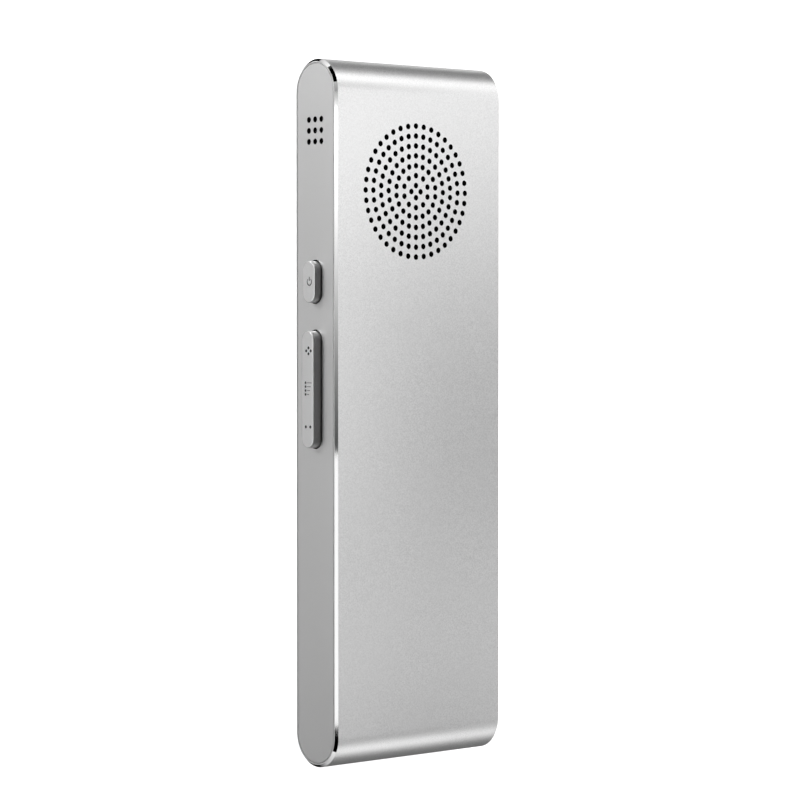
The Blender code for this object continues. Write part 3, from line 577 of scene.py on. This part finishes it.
def make_sleeve():
    """The bead-blasted sleeve. Both mouths have a mirror-polished chamfer with softened edges."""
    slope = math.sqrt(0.5)
    soft = EDGE_ROUND
    half = []
    half.append((body_outline(END_RADIUS), BODY_X - CHAMFER - soft))
    half.append((body_outline(END_RADIUS - soft * (1 - slope)), BODY_X - CHAMFER + soft * (1 - slope)))
    half.append((body_outline(END_RADIUS - CHAMFER + soft), BODY_X - soft))
    half.append((body_outline(END_RADIUS - CHAMFER), BODY_X))
    half.append((body_outline(END_RADIUS - CHAMFER - LAND), BODY_X))
    half.append((body_outline(END_RADIUS - CHAMFER - LAND), PLATE_IN - SEAM))
    half.append((body_outline(END_RADIUS - WALL), PLATE_IN - SEAM))
    levels = half + [(outline, -x) for outline, x in reversed(half)]
    polished_bands = {1: 1, 2: 1, len(levels) - 4: 1, len(levels) - 3: 1}
    materials = ["blasted", "chamfer"]
    sleeve = new_piece("sleeve_skin", [levels], materials, (0, 0, MID_Z), "X", True, polished_bands)

    face = SLEEVE_HIGH.z
    holes = [drilled(GRILLE_HOLE, x, y, face, REAR_INSIDE - CUT_PAST) for x, y in grille_holes()]
    # The grille holes' walls take the near-black hole material: painted shade inside the holes.
    carve(sleeve, holes, "hole", (GRILLE_MIDDLE.x, GRILLE_MIDDLE.y, 0))

    rebate = rounded(*WINDOW_REBATE, WINDOW_CORNER)
    opening = rounded(*WINDOW_OPENING, WINDOW_CORNER - 1)
    window = [(rebate, -CUT_PAST), (rebate, WINDOW_DEPTH)]
    window += [(opening, WINDOW_DEPTH), (opening, WALL + CUT_PAST)]
    carve(sleeve, [window], "blasted", (WINDOW_MIDDLE.x, WINDOW_MIDDLE.y, 0))
    key_holes = []
    for name in FRONT_KEYS:
        middle = middle_mm(f"{name}_key")
        size = front_key_size(name) + 2 * FRONT_KEY_GAP
        key_holes.append(drilled(size, middle.x, middle.y, 0, WALL + CUT_PAST, FRONT_KEY_SIDES))
    carve(sleeve, key_holes, "blasted")
    settle(sleeve, "sleeve_housing")


def plate(name, side):
    """A satin plate with a faintly broken outer edge."""

    def outline(inset):
        return body_outline(PLATE_RADIUS - inset)

    levels = rounded_rim(outline, side * BODY_X, -side, PLATE_BREAK, 2) + [(outline(0), side * PLATE_IN)]
    return new_piece(name, [levels], ["plate"], (0, 0, MID_Z), "X")


def slot_levels(length, width, y):
    """A key slot with its outer edge broken."""
    outwards = -BODY_X
    wide = shifted(pill(length + 2 * HOLE_BREAK, width + 2 * HOLE_BREAK), y, 0)
    narrow = shifted(pill(length, width), y, 0)
    mouth = [(wide, outwards - CUT_PAST), (wide, outwards), (narrow, outwards + HOLE_BREAK)]
    return mouth + [(narrow, CUT_PAST - PLATE_IN)]


def make_left_plate():
    piece = plate("left_plate_skin", -1)
    slots = []
    for middle, (length, width) in ((POWER_MIDDLE, POWER_SIZE), (ROCKER_MIDDLE, ROCKER_SIZE)):
        slots.append(slot_levels(length + 2 * KEY_GAP, width + 2 * KEY_GAP, middle.y))
    # The key slots' walls take the near-black hole material: painted shade in the gap round the keys.
    carve(piece, slots, "hole", (0, 0, MID_Z), "X")
    steps = [index - (MIC_GRID - 1) / 2 for index in range(MIC_GRID)]
    holes = []
    for along in steps:
        for across in steps:
            y = MIC_MIDDLE.y + along * MIC_PITCH_Y
            holes.append(drilled(MIC_HOLE, y, across * MIC_PITCH_Z, -BODY_X, CUT_PAST - PLATE_IN))
    # The microphone holes' walls take the near-black hole material: painted shade inside the holes.
    carve(piece, holes, "hole", (0, 0, MID_Z), "X")
    settle(piece, "left_side_plate")


def make_right_plate():
    piece = plate("right_plate_skin", 1)
    inside = PLATE_IN - CUT_PAST
    outside = BODY_X + CUT_PAST
    usb = box_mm("usb_shell")
    usb_y = (usb[0].y + usb[1].y) / 2
    usb_outline = pill(usb[1].y - usb[0].y + 2 * SEAM, usb[1].z - usb[0].z + 2 * SEAM)
    jack_y = middle_mm("headphone_jack").y
    cuts = [prism(shifted(usb_outline, usb_y, 0), inside, outside)]
    cuts.append(drilled(JACK_NOSE + 2 * SEAM, jack_y, 0, BODY_X, inside, JACK_HOLE_SIDES))
    cuts.append(drilled(RESET_HOLE, RESET_Y, 0, BODY_X, inside))
    for end in ("upper", "lower"):
        y = middle_mm(f"plate_screw_{end}").y
        shank = shifted(circle(SCREW_SHANK_HOLE, SCREW_HOLE_SIDES), y, 0)
        head = shifted(circle(SCREW_HEAD_HOLE, SCREW_HOLE_SIDES), y, 0)
        seat = BODY_X - SCREW_SEAT
        cuts.append([(shank, inside), (shank, seat), (head, seat), (head, outside)])
    carve(piece, cuts, "plate", (0, 0, MID_Z), "X")
    settle(piece, "right_side_plate")


def front_key_size(name):
    low, high = box_mm(f"{name}_key")
    return round(high.y - low.y - 2 * FRONT_KEY_FLANGE, 1)


# Side keys ----------------------------------------------------------------------------------------


def key_levels(length, width, face, neck, flange_size):
    """A pill-shaped cap with rounded edges, from its outer face down to the flange behind the plate."""

    def outline(inset):
        return pill(length - 2 * inset, width - 2 * inset)

    levels = rounded_rim(outline, face, 1, KEY_ROUND)
    levels.append((outline(0), neck))
    levels.append((pill(*flange_size), neck))
    levels.append((pill(*flange_size), neck + KEY_FLANGE_THICKNESS))
    return levels


def dot(diameter, y, z):
    return shifted(circle(diameter, DOT_SIDES), y, z)


def bar(length, width, y, z):
    """An engraved stroke across the key."""
    return shifted(rounded(width, length, width * 0.4, 3), y, z)


def arc_stroke(radius, width, start, end, steps=24):
    """An open ring from one angle to another, in degrees."""
    outer, inner = [], []
    for step in range(steps + 1):
        turn = math.radians(start + (end - start) * step / steps)
        outer.append(((radius + width / 2) * math.cos(turn), (radius + width / 2) * math.sin(turn)))
        inner.append(((radius - width / 2) * math.cos(turn), (radius - width / 2) * math.sin(turn)))
    return outer + inner[::-1]


def engrave(piece, outlines, face, at_y, depth=ENGRAVING):
    """Cuts flat-bottomed marks into the outer face of a side key."""
    solids = [prism(shifted(outline, at_y, 0), face - CUT_PAST, face + depth) for outline in outlines]
    carve(piece, solids, "mark", (0, 0, MID_Z), "X")


def make_power_button():
    """The cap has a shallow dish with a plain on-off sign in it."""
    face = box_mm("power_button")[0].x
    flange_face = -PLATE_IN + SEAM
    levels = key_levels(*POWER_SIZE, face, flange_face, POWER_FLANGE)
    stem = pill(*POWER_STEM)
    levels += [(stem, flange_face + KEY_FLANGE_THICKNESS), (stem, flange_face + POWER_STEM_REACH)]
    y = POWER_MIDDLE.y
    materials = ["key", "key_side"]
    piece = new_piece("power_key_cap", [levels], materials, (0, y, MID_Z), "X", slots=KEY_SIDE_BANDS)
    rim = shifted(circle(DISH_RIM, SIGN_SIDES), y, 0)
    floor = shifted(circle(DISH_FLOOR, SIGN_SIDES), y, 0)
    dish = [(rim, face - CUT_PAST), (rim, face), (floor, face + DISH_DEPTH)]
    carve(piece, [dish], "key", (0, 0, MID_Z), "X")
    ring = arc_stroke(POWER_SIGN_RADIUS, POWER_SIGN_STROKE, *POWER_SIGN_ARC)
    upright = rounded(POWER_SIGN_BAR, POWER_SIGN_STROKE, POWER_SIGN_STROKE / 4, 3)
    engrave(piece, [ring, shifted(upright, POWER_SIGN_BAR_AT, 0)], face, y, POWER_SIGN_DEPTH)
    settle(piece, "power_button", "power_button_body")


def make_volume_rocker():
    """The cap has a plus and a minus made of dots, and a level mark between them: four bars, each with a
    dark engraved dot at its deep end that is a painted shadow.
    """
    face = box_mm("volume_rocker")[0].x
    levels = key_levels(*ROCKER_SIZE, face, ROCKER_FLANGE_X, ROCKER_FLANGE)
    y = ROCKER_MIDDLE.y
    materials = ["key", "key_side"]
    piece = new_piece("volume_key_cap", [levels], materials, (0, y, MID_Z), "X", slots=KEY_SIDE_BANDS)
    plus = [dot(SIGN_DOT, side * SIGN_REACH_Y, SIGN_Z) for side in (-1, 1)]
    plus += [dot(SIGN_DOT, 0, SIGN_Z + side * SIGN_REACH_Z) for side in (-1, 1)]
    minus = [dot(SIGN_DOT, 0, SIGN_Z / 2 + side * SIGN_REACH_Z) for side in (-1, 1)]
    engrave(piece, plus, face, y + PLUS_Y)
    engrave(piece, minus, face, y + MINUS_Y)
    level_marks = []
    for row in range(LEVEL_ROWS):
        row_y = LEVEL_FIRST_Y - LEVEL_PITCH * row
        stroke = LEVEL_LONGEST - LEVEL_SHORTER * row
        # Each dot is a painted shadow at the bar's deep end, engraved and coloured dark.
        level_marks.append(dot(LEVEL_DOT, row_y, LEVEL_DOT_Z))
        level_marks.append(bar(stroke, LEVEL_BAR_WIDTH, row_y, LEVEL_BAR_Z + stroke / 2))
    engrave(piece, level_marks, face, y)
    settle(piece, "volume_rocker", "volume_rocker_body")


# Front side ---------------------------------------------------------------------------------------


def front_sign(name):
    """Plain signs: a disc, a triangle, a square and three bars."""
    if name == "record":
        return [circle(RECORD_DISC, SIGN_SIDES)]
    if name == "play":
        return [PLAY_TRIANGLE]
    if name == "stop":
        return [rounded(STOP_SQUARE, STOP_SQUARE, 0.15, 3)]
    return [shifted(rounded(*MENU_BAR, 0.1, 3), 0, step * MENU_PITCH) for step in (-1, 0, 1)]


def make_front_keys():
    for name in FRONT_KEYS:
        low, high = box_mm(f"{name}_key")
        middle = (low + high) / 2
        size = front_key_size(name)
        cap = circle(size, FRONT_KEY_SIDES)
        flange = circle(size + 2 * FRONT_KEY_FLANGE, FRONT_KEY_SIDES)
        stem = circle(FRONT_KEY_STEM, FRONT_KEY_SIDES)
        neck = WALL + SEAM
        back = neck + FRONT_KEY_FLANGE_THICKNESS
        levels = rounded_rim(
            lambda inset: circle(size - 2 * inset, FRONT_KEY_SIDES), low.z, 1, FRONT_KEY_ROUND
        )
        levels += [(cap, neck), (flange, neck), (flange, back), (stem, back), (stem, high.z)]
        piece = new_piece(f"{name}_key_cap", [levels], ["key"], (middle.x, middle.y, 0))
        signs = [prism(outline, low.z - CUT_PAST, low.z + ENGRAVING) for outline in front_sign(name)]
        material = "record_mark" if name == "record" else "mark"
        carve(piece, signs, material, (middle.x, middle.y, 0))
        settle(piece, f"{name}_key", f"{name}_key_body")


def make_window():
    low, high = box_mm("display_window")
    length, width = high.x - low.x, high.y - low.y

    def outline(inset):
        return rounded(length - 2 * inset, width - 2 * inset, WINDOW_CORNER)

    levels = rounded_rim(outline, low.z, 1, WINDOW_ROUND, 3) + [(outline(0), high.z)]
    piece = new_piece("window_pane", [levels], ["glass"], (WINDOW_MIDDLE.x, WINDOW_MIDDLE.y, 0))
    settle(piece, "display_window")


# Right edge ---------------------------------------------------------------------------------------


def make_usb():
    low, high = box_mm("usb_shell")
    length, width = high.y - low.y, high.z - low.z

    def outline(inset):
        return pill(length - 2 * inset, width - 2 * inset)

    half = USB_WALL / 2
    lip = []
    for step in range(USB_LIP_STEPS + 1):
        turn = math.pi * step / USB_LIP_STEPS
        lip.append((outline(half * (1 - math.cos(turn))), high.x - half * (1 - math.sin(turn))))
    levels = [(outline(0), low.x)] + lip + [(outline(USB_WALL), low.x + USB_BACK_WALL)]
    at = (0, (low.y + high.y) / 2, MID_Z)
    piece = new_piece("usb_mouth", [levels], ["steel"], at, "X")
    settle(piece, "usb_shell")

    low, high = box_mm("usb_tongue")
    length, width = high.y - low.y, high.z - low.z

    def tongue_outline(inset):
        return rounded(length - 2 * inset, width - 2 * inset, TONGUE_CORNER, 3)

    nose = rounded_rim(tongue_outline, high.x, -1, TONGUE_CORNER, 3)
    tongue = new_piece("usb_tongue_plate", [nose + [(tongue_outline(0), low.x)]], ["black"], at, "X")
    contacts = []
    back, tip = [high.x - distance for distance in CONTACT_FROM_TIP]
    for number in range(CONTACT_COUNT):
        y = (number - (CONTACT_COUNT - 1) / 2) * CONTACT_PITCH
        for side in (-1, 1):
            contact = shifted(rounded(*CONTACT_SIZE, 0.02, 1), y, side * width / 2)
            contacts.append(prism(contact, back, tip))
    carve(tongue, contacts, "gold", at, "X")
    settle(tongue, "usb_tongue")


def make_jack():
    low, high = box_mm("headphone_jack")
    body = rounded(high.y - low.y, high.z - low.z, JACK_CORNER)
    sides = len(body)
    turned = [2 * math.pi * (side + 0.5) / sides for side in range(sides)]

    def ring(diameter):
        return [(diameter / 2 * math.cos(turn), diameter / 2 * math.sin(turn)) for turn in turned]

    shoulder = PLATE_IN - SEAM
    levels = [(body, low.x), (body, shoulder), (ring(JACK_NOSE), shoulder)]
    levels += [(ring(JACK_NOSE), high.x - JACK_NOSE_BREAK), (ring(JACK_NOSE - 2 * JACK_NOSE_BREAK), high.x)]
    levels += [(ring(JACK_MOUTH), high.x), (ring(JACK_BORE), high.x - JACK_MOUTH_DEPTH)]
    levels += [(ring(JACK_BORE), low.x + JACK_BACK_WALL)]
    at = (0, (low.y + high.y) / 2, MID_Z)
    piece = new_piece("headphone_socket", [levels], ["black"], at, "X")
    settle(piece, "headphone_jack")


def make_plate_screws():
    for end in ("upper", "lower"):
        low, high = box_mm(f"plate_screw_{end}")
        shank = circle(SCREW_SHANK, SCREW_SIDES)
        top = high.x
        under_head = top - SCREW_HEAD_HEIGHT
        levels = [(shank, low.x), (shank, under_head), (circle(SCREW_HEAD, SCREW_SIDES), under_head)]
        for step in range(SCREW_DOME_STEPS + 1):
            ring = circle(SCREW_HEAD - 2 * step * SCREW_DOME_INSET, SCREW_SIDES)
            levels.append((ring, top - (SCREW_DOME_STEPS - step) * SCREW_DOME_STEP))
        at = (0, (low.y + high.y) / 2, MID_Z)
        piece = new_piece(f"screw_{end}", [levels], ["steel"], at, "X")
        for bar_size in ((CROSS_LENGTH, CROSS_WIDTH), (CROSS_WIDTH, CROSS_LENGTH)):
            groove = prism(rounded(*bar_size, 0.1, 3), top - CROSS_DEPTH, top + CUT_PAST)
            carve(piece, [groove], "steel", at, "X")
        settle(piece, f"plate_screw_{end}")


# CAD nodes that stay ------------------------------------------------------------------------------

SLOT_MATERIALS = {
    "steel": "steel",
    "black_plastic": "black",
    "chassis_plastic": "grey",
    "board": "board",
    "soft_rubber": "rubber",
    "speaker_cone": "cone",
    "acoustic_cloth": "cloth",
    "battery_foil": "foil",
    "display_panel": "panel",
    "flex_film": "flex",
    "wire_red": "wire_red",
    "wire_black": "wire_black",
}


def paint_inner_nodes():
    """Every CAD node that still shows gets the procedural material of its slot."""
    slots = {row["node"]: row["material_slot"] for row in frame["record"]["subparts"]}
    for name, node in frame["nodes"].items():
        if node.hide_render:
            continue
        material = MATERIALS[SLOT_MATERIALS[slots[name]]]
        for slot in node.material_slots:
            slot.material = material


# Studio -------------------------------------------------------------------------------------------


def make_camera():
    camera = bpy.data.cameras.new("camera")
    camera.lens = CAMERA_LENS
    camera.sensor_width = CAMERA_SENSOR
    camera.clip_start = 0.01
    camera.clip_end = 20.0
    item = bpy.data.objects.new("camera", camera)
    bpy.context.scene.collection.objects.link(item)
    bpy.context.scene.camera = item
    forward = (Vector(CAMERA_AIM) - Vector(CAMERA_AT)).normalized()
    right = forward.cross(Vector((0, 1, 0))).normalized()
    up = right.cross(forward)
    turn = Matrix((right, up, -forward)).transposed().to_4x4()
    item.matrix_world = Matrix.Translation(Vector(CAMERA_AT) * MM) @ turn


def make_floor():
    """A glowing white table. It lights nothing and shows in no reflection."""
    bpy.ops.mesh.primitive_plane_add(size=FLOOR_SIZE, location=(0, 0, 0))
    floor = bpy.context.active_object
    floor.name = "floor"
    nodes = Nodes("white_table")
    nodes.shader.inputs["Base Color"].default_value = (0.9, 0.9, 0.9, 1)
    nodes.shader.inputs["Roughness"].default_value = 0.8
    nodes.shader.inputs["Emission Color"].default_value = (1, 1, 1, 1)
    nodes.shader.inputs["Emission Strength"].default_value = 1.0
    floor.data.materials.append(nodes.material)
    floor.visible_glossy = False
    floor.visible_diffuse = False
    floor.visible_shadow = False


def soft_light(name, at, size, target, strength):
    """A rectangular softbox that faces a point of the recorder and isn't seen by the camera."""
    lamp = bpy.data.lights.new(name, "AREA")
    lamp.shape = "RECTANGLE"
    lamp.size, lamp.size_y = [side * MM for side in size]
    lamp.energy = strength
    item = bpy.data.objects.new(name, lamp)
    bpy.context.scene.collection.objects.link(item)
    position = Vector(at) * MM
    item.location = position
    item.rotation_euler = (Vector(target) * MM - position).to_track_quat("-Z", "Y").to_euler()
    item.visible_camera = False


def make_card(name, start, end, width, shades):
    """A glowing card that only shows in reflections. Its shades run from its start to its end."""
    start, end = Vector(start) * MM, Vector(end) * MM
    middle = (start + end) / 2
    length = (end - start).length
    bm = bmesh.new()
    bmesh.ops.create_grid(bm, x_segments=1, y_segments=1, size=0.5)
    bmesh.ops.scale(bm, vec=(width * MM, length, 1.0), verts=bm.verts)
    mesh = bpy.data.meshes.new(name)
    bm.to_mesh(mesh)
    bm.free()
    nodes = Nodes(name)
    along = nodes.add("ShaderNodeSeparateXYZ", {"Vector": nodes.place}).outputs["Y"]
    glow = nodes.remap(along, *shades, -length / 2, length / 2)
    power = nodes.add("ShaderNodeMath", {0: glow, 1: DISPLAY_GAMMA}, operation="POWER").outputs["Value"]
    nodes.shader.inputs["Base Color"].default_value = (0, 0, 0, 1)
    nodes.shader.inputs["Specular IOR Level"].default_value = 0.0
    nodes.shader.inputs["Emission Color"].default_value = (1, 1, 1, 1)
    nodes.feed(power, nodes.shader.inputs["Emission Strength"])
    mesh.materials.append(nodes.material)
    card = bpy.data.objects.new(name, mesh)
    bpy.context.scene.collection.objects.link(card)
    upwards = (end - start).normalized()
    across = upwards.cross(middle).normalized()
    turn = Matrix((across, upwards, across.cross(upwards))).transposed().to_4x4()
    card.matrix_world = Matrix.Translation(middle) @ turn
    card.visible_camera = False
    card.visible_diffuse = False
    card.visible_shadow = False


def make_world():
    """A faint grey room that goes black round the camera's side, so that the chamfer can mirror black."""
    world = bpy.data.worlds.new("studio")
    bpy.context.scene.world = world
    world.use_nodes = True
    nodes = world.node_tree.nodes
    links = world.node_tree.links
    background = nodes["Background"]
    background.inputs["Color"].default_value = (1, 1, 1, 1)
    direction = nodes.new("ShaderNodeTexCoord").outputs["Generated"]
    towards_dark = nodes.new("ShaderNodeVectorMath")
    towards_dark.operation = "DOT_PRODUCT"
    towards_dark.inputs[1].default_value = DARK_SIDE
    links.new(direction, towards_dark.inputs[0])
    ramp = nodes.new("ShaderNodeMapRange")
    limits = {"From Min": DARK_STARTS, "From Max": DARK_FULL, "To Min": ROOM_LEVEL, "To Max": 0.0}
    for key, value in limits.items():
        ramp.inputs[key].default_value = value
    links.new(towards_dark.outputs["Value"], ramp.inputs["Value"])
    links.new(ramp.outputs["Result"], background.inputs["Strength"])


def make_studio():
    make_camera()
    make_floor()
    make_world()
    for card in CARDS:
        make_card(*card)
    for softbox in SOFTBOXES:
        soft_light(*softbox)
    bpy.context.scene.view_settings.view_transform = "Standard"


make_sleeve()
make_left_plate()
make_right_plate()
make_power_button()
make_volume_rocker()
make_front_keys()
make_window()
make_usb()
make_jack()
make_plate_screws()
paint_inner_nodes()
make_studio()
